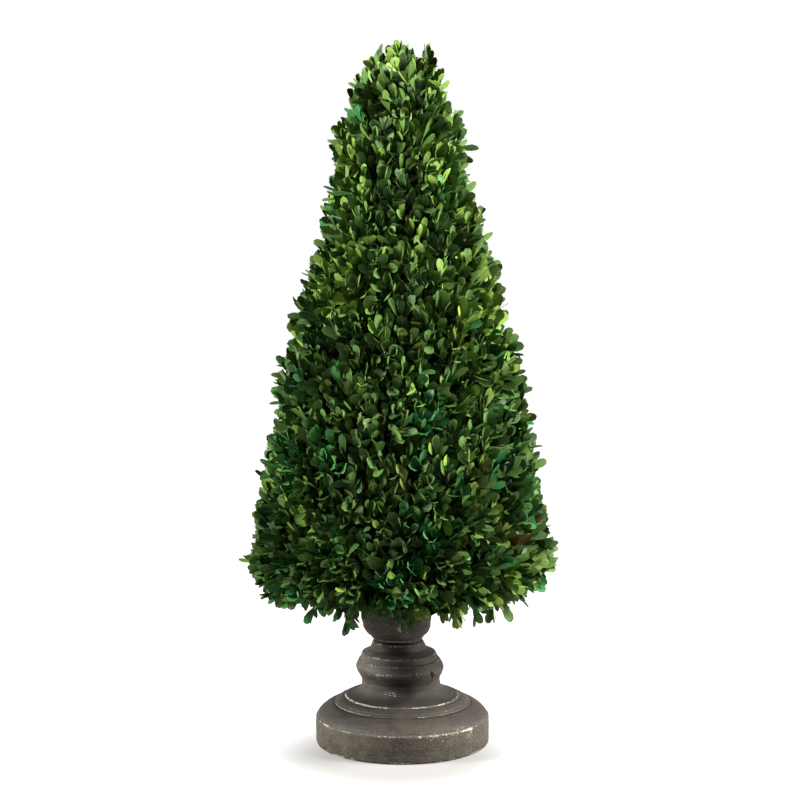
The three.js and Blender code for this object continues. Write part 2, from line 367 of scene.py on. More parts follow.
def growth_direction(points, angle, rng, wander):
    """Which way shoots grow at these points, wandering by this many radians."""
    rise = np.radians(np.interp(crown_height(points), RISE_HEIGHTS, RISE_DEGREES))
    rise = rise + rng.normal(0, wander, len(points))
    swing = angle + rng.normal(0, 1.5 * wander, len(points))
    return between(radial(swing), UP, rise)


def depth_limit(points, depth):
    """The depth, less where the crown is narrow."""
    reach = np.linalg.norm((points - CROWN_AXIS)[:, :2], axis=1)
    return np.minimum(depth, MOST_DEPTH_SHARE * np.maximum(reach, 0.02))


# ---------------- limbs


class Limbs:
    """Many limbs of one kind, each a cubic curve that tapers evenly."""

    def __init__(self, start, start_direction, end, end_direction, thick, thin):
        length = np.linalg.norm(end - start, axis=1)
        handle = HANDLE_SHARE * length[:, None]
        leaving = start + handle * start_direction
        arriving = end - handle * end_direction
        self.control = np.stack([start, leaving, arriving, end])
        self.length = length
        self.thick = thick
        self.thin = thin

    def at(self, t):
        """Points at curve parameters t, (limb,) or (limb, place)."""
        return self.weighted(self.control, cubic_weights(t[..., None]))

    def heading(self, t):
        """Unit tangents at curve parameters t."""
        t = t[..., None]
        weights = ((1 - t) ** 2, 2 * t * (1 - t), t * t)
        return unit(self.weighted(np.diff(self.control, axis=0), weights))

    @staticmethod
    def weighted(vectors, weights):
        """The sum of each limb's vectors, at one place on it or at several."""
        if weights[0].ndim == vectors.ndim:
            vectors = vectors[:, :, None]
        return sum(weight * vector for weight, vector in zip(weights, vectors))


def cross_frame(places, along):
    """Two directions square to the limbs at these places, the first one level or nearly so."""
    level = square_to(np.cross(UP, places - CROWN_AXIS) + 1e-4, along)
    return level, np.cross(along, level)


def stem_rings():
    """The CAD stem's rings from its flat cut to its tip: heights, centres and radii."""
    vertices = world_vertices("stem")
    heights = np.unique(np.round(vertices[:, 2], 5))
    rings = [vertices[np.abs(vertices[:, 2] - height) < 1e-5] for height in heights]
    centres = np.array([ring.mean(axis=0) for ring in rings])
    radii = [np.linalg.norm((ring - centre)[:, :2], axis=1).max() for ring, centre in zip(rings, centres)]
    return heights, centres, np.array(radii)


STEM_HEIGHTS, STEM_CENTRES, STEM_RADII = stem_rings()


def stem_centre(z):
    """Where the stem's middle is at these heights."""
    x, y = (np.interp(z, STEM_HEIGHTS, STEM_CENTRES[:, i]) for i in (0, 1))
    return np.stack([x, y, z], -1)


def grow_boughs(outline):
    """Boughs leave the stem in the same order as the parts of the crown that they fill."""
    rng = np.random.default_rng(SEED)
    face, outward, angle = surface_targets(BOUGH_COUNT, outline, rng)
    end = face - outward * depth_limit(face, BOUGH_DEPTH)[:, None]
    low = STEM_HEIGHTS[0] + BARE_FOOT
    high = STEM_HEIGHTS[-1] - BARE_TOP
    leaving = low + (high - low) * crown_height(face) ** 0.7
    leaving = np.clip(leaving + rng.uniform(-0.01, 0.01, BOUGH_COUNT), low, high)
    start = stem_centre(leaving)
    start_direction = unit(unit(end - start) + 0.35 * UP)
    end_direction = unit(growth_direction(face, angle, rng, BOUGH_WANDER) + 0.5 * unit(end - start))
    thick = (1.3 + 14 * np.linalg.norm(end - start, axis=1)) * MM
    return Limbs(start, start_direction, end, end_direction, thick, 0.55 * thick)


def attach(parents, targets, first, reach):
    """For each target, the parent, place and heading from which a shoot of about that reach bends least."""
    places = np.linspace(first, 1.0, 10)
    grid = np.tile(places, (len(parents.length), 1))
    candidates = parents.at(grid).reshape(-1, 3)
    headings = parents.heading(grid).reshape(-1, 3)
    best = np.empty(len(targets), dtype=int)
    for i, target in enumerate(targets):
        gap = target - candidates
        distance = np.linalg.norm(gap, axis=1)
        turn = 1 - (gap * headings).sum(axis=1) / np.maximum(distance, 1e-6)
        excess = np.abs(distance - reach) + 0.4 * np.maximum(distance - reach, 0)
        best[i] = np.argmin(excess + 0.35 * distance * turn)
    return best // len(places), candidates[best], headings[best]


def grow_branchlets(boughs, outline):
    """Branchlets leave the boughs and end just under the clipped face."""
    rng = np.random.default_rng(SEED + 1)
    face, outward, angle = surface_targets(BRANCHLET_COUNT, outline, rng)
    end = face - outward * depth_limit(face, BRANCHLET_DEPTH)[:, None]
    start, heading = attach(boughs, end, 0.3, 0.03)[1:]
    start_direction = unit(heading + 0.8 * unit(end - start))
    end_direction = growth_direction(face, angle, rng, BRANCHLET_WANDER)
    thick = np.full(BRANCHLET_COUNT, BRANCHLET_RADIUS)
    return Limbs(start, start_direction, end, end_direction, thick, 0.6 * thick)


def sometimes(share, limits, rng):
    """For each outer sprig a number within the limits, with this share's chance, or else 0."""
    return np.where(rng.random(SPRIG_COUNT) < share, rng.uniform(*limits, SPRIG_COUNT), 0)


def face_depths(face, angle, rng):
    """How far under the clipped face the outer sprigs end, or out of it where below 0."""
    height = crown_height(face)
    low = smoothstep(RAGGED_HEIGHT, 0.0, height)
    lumps = (LUMP_DEPTH + RAGGED_DEPTH * low) * noise(face, LUMP_SIZE, 3) + RAGGED_LIFT * low
    close = near_angle(angle, CLOSE_ANGLE, CLOSE_SWEEP) * near(height, CLOSE_HEIGHT, CLOSE_SPAN)
    lumps = lumps + CLOSE_DEPTH * close
    deep = sometimes(DEEP_SHARE, DEEP_RANGE, rng)
    stray = sometimes(STRAY_SHARE, STRAY_RANGE, rng)
    depth = np.abs(rng.normal(0, FACE_SPREAD, SPRIG_COUNT)) + deep + FACE_DEPTH
    return depth_limit(face, depth) + lumps - stray


def grow_sprigs(branchlets, outline):
    """Outer, inner and placed sprigs, in that order, each with the number of its branchlet: its spray."""
    rng = np.random.default_rng(SEED + 2)
    outer = surface_targets(SPRIG_COUNT, outline, rng, spread=0.6)
    outer_depth = face_depths(outer[0], outer[2], rng)
    inner = surface_targets(INNER_SPRIG_COUNT, outline, rng, spread=0.6)
    inner_depth = depth_limit(inner[0], rng.uniform(*INNER_RANGE, INNER_SPRIG_COUNT))
    both = zip((*outer, outer_depth), (*inner, inner_depth))
    face, outward, angle, depth = (np.concatenate(pair) for pair in both)
    swirl = np.stack([noise(face, SWIRL_SIZE, 70 + i) for i in range(3)], -1)
    direction = unit(growth_direction(face, angle, rng, SPRIG_WANDER) + SWIRL * swirl)
    end = face - direction * SPRIG_DEPTH - outward * depth[:, None]
    swing, radius, height, rise = np.array(PLACED_SPRIGS).T
    swing = np.radians(swing)
    direction = np.concatenate([direction, between(radial(swing), UP, np.radians(rise))])
    end = np.concatenate([end, CROWN_AXIS + cylindrical(swing, radius, height)])
    owner, start, heading = attach(branchlets, end, 0.2, SPRIG_REACH)
    start_direction = unit(heading + 0.9 * unit(end - start))
    thick = np.full(len(end), SPRIG_RADIUS)
    return Limbs(start, start_direction, end, direction, thick, 0.55 * thick), owner


def tubes(name, limbs, rings, sides, relief=0.0):
    """The limbs as one mesh of tapering tubes with closed ends."""
    count = len(limbs.length)
    t = np.tile(np.linspace(0, 1, rings), (count, 1))
    centres = limbs.at(t)
    along = limbs.heading(t)
    across, third = cross_frame(centres, along)
    radius = limbs.thick[:, None] + (limbs.thin - limbs.thick)[:, None] * t
    ring = between(across[:, :, None], third[:, :, None], full_turn(sides))
    skin = centres[:, :, None] + ring * radius[:, :, None, None]
    if relief:
        skin = skin + ring * (relief * radius[:, :, None] * noise(skin, 0.004, 5))[..., None]
    tip = centres[:, -1] + along[:, -1] * radius[:, -1:]
    copies = np.concatenate([skin.reshape(count, -1, 3), tip[:, None]], axis=1)
    last = (rings - 1) * sides
    faces = [tuple(range(sides - 1, -1, -1))] + ring_faces(rings, sides)
    faces += [(last + j, last + (j + 1) % sides, last + sides) for j in range(sides)]
    return joined_mesh(name, copies, faces)


# ---------------- leaves

LEAF_ROWS = np.array([0.13, 0.42, 0.72, 0.92])
ROW_WIDTHS = np.array([0.24, 0.74, 1.0, 0.68])
PATTERN_WIDTH = 0.44  # half a leaf's width, as a share of its half of a cell


def leaf_template():
    """One leaf: each vertex's place along and across, the width there and whether it is on the back, then
    the faces, their corners' pattern coordinates and the rim's vertices.

    Vertices: the base, then left, middle and right for each row, the tip, and a back middle for each row.
    """
    rows = len(LEAF_ROWS)
    along = np.concatenate([[0], np.repeat(LEAF_ROWS, 3), [1], LEAF_ROWS])
    across = np.concatenate([[0], np.tile([-1, 0, 1], rows), [0], np.zeros(rows)])
    width = np.concatenate([[0], np.repeat(ROW_WIDTHS, 3), [0], ROW_WIDTHS])
    back = np.concatenate([np.zeros(3 * rows + 2), np.ones(rows)])
    base = 0
    tip = 3 * rows + 1
    faces = []
    for middle, is_back in ((lambda r: 3 * r + 2, False), (lambda r: tip + 1 + r, True)):
        for side in (-1, 1):
            def edge(r):
                return 3 * r + 2 + side
            half = [(base, middle(0), edge(0))]
            half += [(edge(r), middle(r), middle(r + 1), edge(r + 1)) for r in range(rows - 1)]
            half += [(edge(rows - 1), middle(rows - 1), tip)]
            faces += [face if (side > 0) == is_back else face[::-1] for face in half]
    corners = np.concatenate(faces)
    on_back = np.arange(len(corners)) >= len(corners) // 2
    pattern = np.stack([across[corners] * PATTERN_WIDTH + 0.5, along[corners] * 0.9 + 0.05], -1)
    pattern[:, 0] = (pattern[:, 0] + on_back) / 2
    rim = [base, tip] + [3 * r + 2 + side for r in range(rows) for side in (-1, 1)]
    return along, across, width, back, faces, pattern, rim


def leaf_sprays(sprigs, spray, tint_of_spray):
    """The leaves' places, frames, lengths and tints: opposite pairs on each sprig, a quarter turn apart."""
    rng = np.random.default_rng(SEED + 3)
    count = len(sprigs.length)
    inner = np.arange(count) >= SPRIG_COUNT
    inner[-len(PLACED_SPRIGS):] = False
    height = crown_height(sprigs.control[-1])
    first_turn = rng.uniform(0, TAU, count)
    tint = tint_of_spray[spray]
    other = rng.permutation(tint)
    own_tint = (rng.random(count) < OWN_TINT_CHANCE) & (other != TINT_NAMES.index("bronze"))
    tint = np.where(own_tint, other, tint)
    # Inner sprigs take the deep tint and no young leaves: painted shade inside the crown.
    tint = np.where(inner, TINT_NAMES.index("deep"), tint)
    fresher_chance = np.where(inner, 0, np.interp(height, (0, 1), FRESHER_CHANCES))
    parts = []
    for pair in range(LEAF_PAIRS):
        back = PAIR_SPACING * (pair + rng.uniform(-0.15, 0.15, count)) + 0.4 * MM
        t = 1 - back / sprigs.length
        keep = t > BARE_SHARE
        place = sprigs.at(np.clip(t, 0, 1))
        along = sprigs.heading(np.clip(t, 0, 1))
        side_a, side_b = cross_frame(place, along)
        turn = first_turn + pair * math.pi / 2 + rng.normal(0, 0.25, count)
        for facing in (0, math.pi):
            lean = np.radians(np.interp(pair, (0, 1, 3), LEAN_DEGREES) + rng.normal(0, 6, count))
            here = turn + facing + rng.normal(0, 0.12, count)
            aside = between(side_a, side_b, here)
            direction = between(along, aside, lean)
            upper = between(-aside, along, lean)
            length = LEAF_LENGTH * PAIR_LENGTHS[pair]
            length = length * np.clip(rng.normal(1, 0.13, count), 0.66, 1.32)
            length = np.where(inner, INNER_LEAF_SCALE * length, length)
            fresher = rng.random(count) < fresher_chance * (1.0 if pair == 0 else 0.3)
            leaf_tint = np.where(fresher, TINT_FRESHER[tint], tint)
            parts.append([values[keep] for values in (place, direction, upper, length, leaf_tint)])
    return [np.concatenate(values) for values in zip(*parts)]


def leaf_bodies(place, direction, upper, length, rng):
    """Each leaf's vertices: bent along its length, folded or cupped across it, and twisted a little."""
    along, across, width, back, *_ = LEAF
    count = len(place)
    outward = unit((place - CROWN_AXIS) * (1, 1, 0.0) + UP * 0.03)
    facing = rng.normal(*FACING, count)[:, None]
    upper = square_to(upper + facing * outward, direction)
    side = np.cross(direction, upper)
    roll = rng.normal(0, ROLL_SPREAD, count)
    upper, side = between(upper, side, roll), between(side, -upper, roll)
    slim = np.interp(crown_height(place), (0, 1), LEAF_WIDTHS) / LEAF_LENGTH
    half = slim * length * np.clip(rng.normal(1, 0.12, count), 0.72, 1.3) / 2
    arch = rng.normal(*ARCH, count)[:, None]
    folded = rng.random(count) < FOLDED_SHARE
    cup = np.where(folded, rng.uniform(*FOLD_RANGE, count), rng.uniform(*CURL_RANGE, count))
    twist = rng.normal(0, TWIST_SPREAD, count)[:, None] * along
    x = across * width * half[:, None]
    lift = cup[:, None] * np.abs(x) - back * LEAF_THICKNESS * np.sin(math.pi * along) ** 0.5
    y = length[:, None] * along * (1 - arch ** 2 * along ** 2 / 6)
    z = length[:, None] * arch * along ** 2 / 2
    x, lift = x * np.cos(twist) - lift * np.sin(twist), x * np.sin(twist) + lift * np.cos(twist)
    z = z + lift
    return (place[:, None] + x[..., None] * side[:, None] + y[..., None] * direction[:, None]
            + z[..., None] * upper[:, None])


# Leaf tints: name, base colour, how common it is over the whole crown, and the tint of its young leaves
TINTS = (
    ("deep", (0.0145, 0.0385, 0.0110), 0.28, "mid"),
    ("mid", (0.0280, 0.0640, 0.0155), 0.42, "fresh"),
    ("fresh", (0.0740, 0.1300, 0.0230), 0.12, "fresh"),
    ("emerald", (0.0140, 0.0760, 0.0240), 0.11, "mid"),
    ("olive", (0.0440, 0.0680, 0.0170), 0.07, "fresh"),
    ("bronze", (0.0560, 0.0440, 0.0130), 0.002, "olive"),
)
TINT_NAMES = [tint[0] for tint in TINTS]
TINT_FRESHER = np.array([TINT_NAMES.index(tint[3]) for tint in TINTS])
RUSTY_ANGLE = math.radians(-42)  # the side with the most olive and bronze sprays, low down
# The key-lit side, whose upper sprays are dealt more of the fresh tint: painted light.
LIT_SIDE_ANGLE = math.radians(-22)  # the side with the most fresh sprays, high up


def deal_tints(branchlets):
    """One tint for each branchlet's spray: in patches and rustier low on one side, with painted light and
    shade as well: fresher high up and on the lit side, deeper and less fresh low down.
    """
    rng = np.random.default_rng(SEED + 4)
    tips = branchlets.control[-1]
    height = crown_height(tips)
    offset = tips - CROWN_AXIS
    angle = np.arctan2(offset[:, 1], offset[:, 0])
    rusty, lit_side = (np.exp(2 * (np.cos(angle - side) - 1)) for side in (RUSTY_ANGLE, LIT_SIDE_ANGLE))
    rusty = rusty * smoothstep(0.36, 0.12, height)
    lit_side = lit_side * smoothstep(0.25, 0.65, height)
    shaded_low = smoothstep(0.45, 0.15, height)
    # The fresh and deep bonuses paint light and shade: fresh on the lit side and high up, deep and less
    # fresh low down.
    place_and_light_bonus = {
        "fresh": 0.22 * smoothstep(0.30, 1.0, height) + 0.26 * lit_side - 0.07 * shaded_low,
        "deep": 0.25 * smoothstep(0.35, 0.0, height),
        "emerald": 0.20 * smoothstep(0.5, 0.15, height),
        "olive": 0.16 * rusty,
        "bronze": 0.10 * rusty,
    }
    weights = []
    for i, (name, _, share, _) in enumerate(TINTS):
        patch = np.exp(0.9 * noise(tips, 0.07, 20 + i))
        weights.append((share + place_and_light_bonus.get(name, 0)) * patch)
    weights = np.cumsum(weights, axis=0)
    draw = rng.random(len(tips)) * weights[-1]
    return (draw > weights).sum(axis=0)


def build_leaves(sprigs, spray, branchlets):
    """The leaves, joined by tint into pieces that stay under the export's limit."""
    rng = np.random.default_rng(SEED + 5)
    place, direction, upper, length, tint = leaf_sprays(sprigs, spray, deal_tints(branchlets))
    bodies = leaf_bodies(place, direction, upper, length, rng)
    faces, pattern, rim = LEAF[4:]
    cell = rng.integers(0, LEAF_CELLS, (len(place), 1, 2))
    uvs = (cell + pattern) / LEAF_CELLS
    triangles = sum(len(face) - 2 for face in faces)
    most = PIECE_TRIANGLES // triangles
    for index, name in enumerate(TINT_NAMES):
        chosen = np.flatnonzero(tint == index)
        batches = np.array_split(chosen, math.ceil(len(chosen) / most))
        for number, batch in enumerate(batches, start=1):
            title = f"leaves_{name}" if len(batches) == 1 else f"leaves_{name}_{number}"
            piece = joined_mesh(title, bodies[batch], faces, uvs[batch], rim)
            declare(piece, LEAF_MATERIALS[name], "leaves", *MASSES)


# ---------------- materials


class Nodes:
    """Short hand for building the node tree of a material or a world."""

    def __init__(self, owner):
        owner.use_nodes = True
        self.owner = owner
        self.tree = owner.node_tree

    def fill(self, node, inputs):
        """Sets inputs, by name or number, to numbers, colours or other nodes' outputs."""
        for key, value in inputs.items():
            if isinstance(value, bpy.types.NodeSocket):
                self.tree.links.new(value, node.inputs[key])
            else:
                node.inputs[key].default_value = value

    def add(self, kind, inputs, **settings):
        node = self.tree.nodes.new(kind)
        for key, value in settings.items():
            setattr(node, key, value)
        self.fill(node, inputs)
        return node

    def finish(self, inputs, shader="Principled BSDF"):
        """Fills the shader's inputs and returns the material or world."""
        self.fill(self.tree.nodes[shader], inputs)
        return self.owner

    def place(self, kind="Object"):
        return self.add("ShaderNodeTexCoord", {}).outputs[kind]

    def stretched(self, vector, *scale):
        return self.add("ShaderNodeMapping", {"Vector": vector, "Scale": scale}).outputs[0]

    def math(self, operation, a, b=0.0):
        return self.add("ShaderNodeMath", {0: a, 1: b}, operation=operation).outputs[0]

    def noise(self, vector, scale, detail=3.0, roughness=0.55):
        inputs = {"Vector": vector, "Scale": scale, "Detail": detail, "Roughness": roughness}
        return self.add("ShaderNodeTexNoise", inputs).outputs["Fac"]

    def ramp(self, value, low, high, out_low=0.0, out_high=1.0):
        """Maps low..high to out_low..out_high, smoothly and without overshoot."""
        inputs = {"Value": value, "From Min": low, "From Max": high, "To Min": out_low, "To Max": out_high}
        return self.add("ShaderNodeMapRange", inputs, interpolation_type="SMOOTHSTEP").outputs["Result"]

    def mix(self, factor, a, b, blend="MIX"):
        inputs = {0: factor, 6: a, 7: b}  # a mix node's sockets for colours have these numbers
        return self.add("ShaderNodeMix", inputs, data_type="RGBA", blend_type=blend).outputs[2]

    def layered(self, skin, *layers):
        """Lays tones over the skin, each by how far its value has come from one limit to the other."""
        for tone, value, *limits in layers:
            skin = self.mix(self.ramp(value, *limits), skin, tone)
        return skin

    def bump(self, height, strength, distance):
        inputs = {"Height": height, "Strength": strength, "Distance": distance}
        return self.add("ShaderNodeBump", inputs).outputs["Normal"]


def colour(red, green, blue):
    return (red, green, blue, 1.0)


def shaded(base, factor):
    return colour(*(channel * factor for channel in base))


def leaf_material(name, base):
    """A leaf patterned on the bake map: a cell's left half is the upper side, its right half the back."""
    nodes = Nodes(bpy.data.materials.new(f"leaf_{name}"))
    where = nodes.add("ShaderNodeUVMap", {}, uv_map=BAKE_MAP).outputs["UV"]
    axes = nodes.add("ShaderNodeSeparateXYZ", {0: where})
    column, row = (nodes.math("MULTIPLY", axes.outputs[i], float(LEAF_CELLS)) for i in (0, 1))
    in_column = nodes.math("MULTIPLY", nodes.math("FRACT", column), 2.0)
    is_back = nodes.math("GREATER_THAN", in_column, 1.0)
    across = nodes.math("SUBTRACT", nodes.math("FRACT", in_column), 0.5)
    across = nodes.math("MULTIPLY", nodes.math("ABSOLUTE", across), 1 / PATTERN_WIDTH)
    along = nodes.math("FRACT", row)
    cell = nodes.add("ShaderNodeCombineXYZ", {0: nodes.math("FLOOR", column), 1: nodes.math("FLOOR", row)})
    chance = nodes.add("ShaderNodeTexWhiteNoise", {"Vector": cell.outputs[0]}, noise_dimensions="3D")
    hue = nodes.add("ShaderNodeSeparateColor", {0: chance.outputs["Color"]}).outputs[1]

    yellower = colour(base[0] * 1.35, base[1] * 1.10, base[2] * 0.75)
    pale = colour(base[0] * 1.2 + 0.045, base[1] * 1.2 + 0.066, base[2] * 1.1 + 0.010)
    veins = nodes.math("ADD", along, nodes.math("MULTIPLY", across, -0.22))
    veins = nodes.math("PINGPONG", nodes.math("MULTIPLY", veins, 9.0), 0.5)
    skin = nodes.layered(
        nodes.mix(chance.outputs["Value"], shaded(base, 0.62), shaded(base, 1.42)),
        (yellower, hue, 0.45, 1.0, 0.0, 0.6),
        (shaded(base, 0.45), nodes.noise(where, 46.0, 4.0), 0.35, 0.7, 0.0, 0.4),
        (pale, veins, 0.40, 0.5, 0.0, 0.22),
        (pale, along, 0.0, 0.35, 0.45, 0.0),  # the leaf's base
        (pale, is_back, 0.0, 1.0, 0.0, 0.28),
        # Pale rim: a paler margin, and partly a painted highlight along the leaf's edge.
        (pale, across, 0.78, 0.98, 0.0, 0.75),  # its rim
        (pale, across, 0.07, 0.0, 0.0, 0.6),  # its midrib
    )
    return nodes.finish({"Base Color": skin, "Roughness": 0.5, "Specular IOR Level": 0.10})


def bark_material(name, light, dark, scale):
    nodes = Nodes(bpy.data.materials.new(name))
    where = nodes.place()
    grain = nodes.noise(nodes.stretched(where, 1.0, 1.0, 0.35), scale, 5.0, 0.65)
    moss = nodes.noise(where, scale * 0.25, 2.0)
    return nodes.finish({
        "Base Color": nodes.layered(
            dark,
            (light, grain, 0.35, 0.7),
            (colour(0.06, 0.075, 0.025), moss, 0.55, 0.75, 0.0, 0.5),
        ),
        "Roughness": 0.85,
        "Specular IOR Level": 0.2,
        "Normal": nodes.bump(grain, 0.6, 0.0008),
    })


def pedestal_material():
    """Dark grey-brown weathered wood, rubbed pale along its edges, partly as painted highlights, grimy in
    its hollows, and darkened with painted shade on the plinth's top, the neck and the knop.
    """
    nodes = Nodes(bpy.data.materials.new("weathered_wood"))
    where = nodes.place()
    wear = nodes.add("ShaderNodeAttribute", {}, attribute_name="wear").outputs["Fac"]
    grime = nodes.add("ShaderNodeAttribute", {}, attribute_name="grime").outputs["Fac"]
    turning = nodes.noise(nodes.stretched(where, 0.12, 0.12, 2.2), 260.0, 4.0, 0.6)
    clouds = nodes.noise(where, 55.0, 6.0, 0.65)
    speckle = nodes.noise(where, 620.0, 3.0, 0.7)
    # Worn edges rubbed pale, partly painted highlights along them.
    rubbed = nodes.math("ADD", wear, nodes.math("MULTIPLY", nodes.math("SUBTRACT", speckle, 0.5), 2.8))
    skin = nodes.layered(
        colour(0.0152, 0.0126, 0.0094),
        (colour(0.0350, 0.0286, 0.0214), clouds, 0.3, 0.7),
        (colour(0.058, 0.049, 0.038), turning, 0.40, 0.7, 0.0, 0.22),
        (colour(0.112, 0.097, 0.078), speckle, 0.54, 0.72, 0.0, 0.6),
        (colour(0.008, 0.007, 0.005), speckle, 0.46, 0.30, 0.0, 0.6),
        (colour(0.235, 0.208, 0.174), rubbed, 0.50, 0.86, 0.0, 0.85),
    )
    # Darkened by grime in the hollows and by painted shade on the plinth's top, the neck and the knop.
    skin = nodes.mix(grime, skin, colour(0.10, 0.095, 0.09), blend="MULTIPLY")
    height = nodes.math("ADD", nodes.math("MULTIPLY", turning, 0.5), speckle)
    return nodes.finish({
        "Base Color": skin,
        "Roughness": nodes.ramp(clouds, 0.3, 0.7, 0.58, 0.8),
        "Specular IOR Level": 0.18,
        "Normal": nodes.bump(height, 0.35, 0.0006),
    })


def moss_material():
    nodes = Nodes(bpy.data.materials.new("cup_moss"))
    tufts = nodes.noise(nodes.place(), 300.0, 5.0, 0.7)
    skin = nodes.layered(colour(0.020, 0.017, 0.010), (colour(0.070, 0.062, 0.030), tufts, 0.35, 0.65))
    return nodes.finish({"Base Color": skin, "Roughness": 0.95, "Normal": nodes.bump(tufts, 0.8, 0.002)})


# ---------------- pedestal

PEDESTAL_NODES = ("pedestal_plinth", "pedestal_neck", "pedestal_knop", "pedestal_cup")
TURNED_SEGMENTS = 208
OUTLINE_STEP = 0.0008
SOFTNESS = 0.00035  # how far sharp corners are rounded
BEADS = ((74.1, 36.2), (62.6, 52.3))  # radius and height in millimetres of the two thin beads on the plinth
BEAD_WIDTH = 0.0009
# How pale the beads are rubbed: wear, and partly a painted highlight along each bead.
BEAD_WEAR_AND_GLINT = 0.62
FRONT_ANGLE = -math.pi / 2
CHIP_ANGLE = FRONT_ANGLE + math.radians(47)  # the dark gouge on the knop
CHIP_HEIGHT = 0.082
CHIP_SLANT = 9  # radians for each metre up
CHIP_WIDTH = 0.04
CHIP_REACH = 0.0042
CHIP_DEPTH = 1.8 * MM
SCRATCH_ANGLE = FRONT_ANGLE - math.radians(16)
SCRATCH_HEIGHT = 0.0635
SCRATCH_REACH = 0.0035
SCRATCH_SPACING = 0.0022
# Where the painted shade down the neck's front, with a dark streak, is darkest.
NECK_FRONT_SHADE_ANGLE = FRONT_ANGLE + math.radians(2)  # the darkest side of the neck
RUBBED_ANGLE = FRONT_ANGLE + math.radians(42)  # the plinth's most rubbed stretch
# Heights between which each part's marks fade in and out: rubbing on the plinth's side, painted shade on
# its top and on the neck and knop
PLINTH_SIDE = (0.012, 0.026, 0.030, 0.036)
PLINTH_TOP = (0.030, 0.035, 0.055, 0.072)
NECK_AND_KNOP = (0.052, 0.072, 0.112, 0.128)


def curve_to(points, end, leaves_level, fullness=0.55, count=16):
    """Adds a quarter-round to a list of outline points, ending at end."""
    (r0, z0), (r1, z1) = points[-1], end
    if leaves_level:
        bends = ((r0 + (r1 - r0) * fullness, z0), (r1, z1 + (z0 - z1) * fullness))
    else:
        bends = ((r0, z0 + (z1 - z0) * fullness), (r1 + (r0 - r1) * fullness, z1))
    controls = np.array([(r0, z0), *bends, (r1, z1)])
    for t in np.linspace(0, 1, count + 1)[1:]:
        points.append(tuple(sum(weight * control for weight, control in zip(cubic_weights(t), controls))))


def pedestal_outline():
    """The turned outline as (radius, height) points, from the foot's edge up to the cup's inside."""
    plinth, _, shoulder = (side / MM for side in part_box("pedestal_plinth")[1])
    rim = CUP_HIGH[2] / MM
    cup = (CUP_HIGH[1] - CUP_LOW[1]) / 2 / MM
    points = [(plinth - 6, 0), (plinth - 2.2, 0)]
    curve_to(points, (plinth - 0.4, 2.4), True)
    curve_to(points, (plinth, 15), False)
    points.append((plinth - 0.2, 29.0))
    curve_to(points, (plinth - 2, 31.0), False)
    curve_to(points, (75.0, shoulder - 0.4), False, 0.33)
    points += [(74.4, shoulder - 0.7), (74.1, shoulder + 1.1), (72.6, shoulder + 1.7)]
    curve_to(points, (63.4, 51.0), False, 0.3)
    points += [(62.9, 50.8), (62.6, 52.3), (61.3, 53.0)]
    curve_to(points, (42.9, 66.5), True, 0.5)
    points += [(42.6, 70.5), (43.3, 73.2), (45.4, 77.0), (47.4, 81.0), (48.1, 84.2), (47.6, 86.4)]
    points += [(44.8, 91.6), (44.1, 93.2), (42.7, 93.7), (41.8, 96.4), (40.6, 99.6), (39.8, 100.6)]
    points += [(38.4, 100.9)]
    points += [(36.6, 102.0), (32.4, 104.0), (30.6, 105.4), (29.8, 107.6), (28.0, 112.0), (27.0, 113.0)]
    points += [(24.7, 114.0), (24.1, 115.1), (24.8, 116.0), (28.2, 116.8), (28.8, 117.8), (28.6, 119.2)]
    curve_to(points, (35.8, 127.0), True, 0.3)
    points += [(36.4, 127.6), (36.9, 128.8)]
    curve_to(points, (cup, 137.0), False, 0.4)
    points += [(cup, rim - 1.2), (cup - 1.2, rim), (cup - 2.6, rim), (cup - 3.6, rim - 1)]
    points += [(cup - 3.6, 132), (cup - 9.6, 126)]
    return np.array(points) * MM


def soften(outline):
    """The outline at an even step, with its corners rounded."""
    lengths = np.concatenate([[0], np.cumsum(np.hypot(*np.diff(outline, axis=0).T))])
    places = np.linspace(0, lengths[-1], round(lengths[-1] / OUTLINE_STEP) + 1)
    even = np.stack([np.interp(places, lengths, outline[:, i]) for i in (0, 1)], -1)
    rounded = smoothed(even, bell(np.arange(-2, 3) * OUTLINE_STEP, SOFTNESS))
    rounded[[0, -1]] = even[[0, -1]]
    return rounded


def edge_signs(outline):
    """How far the outline turns outwards (edges) and inwards (hollows) at each point, from 0 to 1."""
    heading = unit(np.gradient(outline, axis=0))
    turn = np.gradient(np.unwrap(np.arctan2(heading[:, 1], heading[:, 0])))
    turn = np.convolve(turn, bell(np.arange(-3, 4), 0.8), "same")
    hollow = np.convolve(np.maximum(-turn, 0), bell(np.arange(-6, 7), 2.2), "same")
    return np.clip(turn / 0.24, 0, 1), np.clip(hollow / 0.10, 0, 1)


def lean_offset(z):
    """How far the turned pieces stand to one side of the plinth at a height, read from the CAD cup."""
    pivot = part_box("pedestal_plinth")[1][2]
    cup_x, _, cup_z = (CUP_LOW + CUP_HIGH) / 2
    return cup_x * np.maximum(0, z - pivot) / (cup_z - pivot)


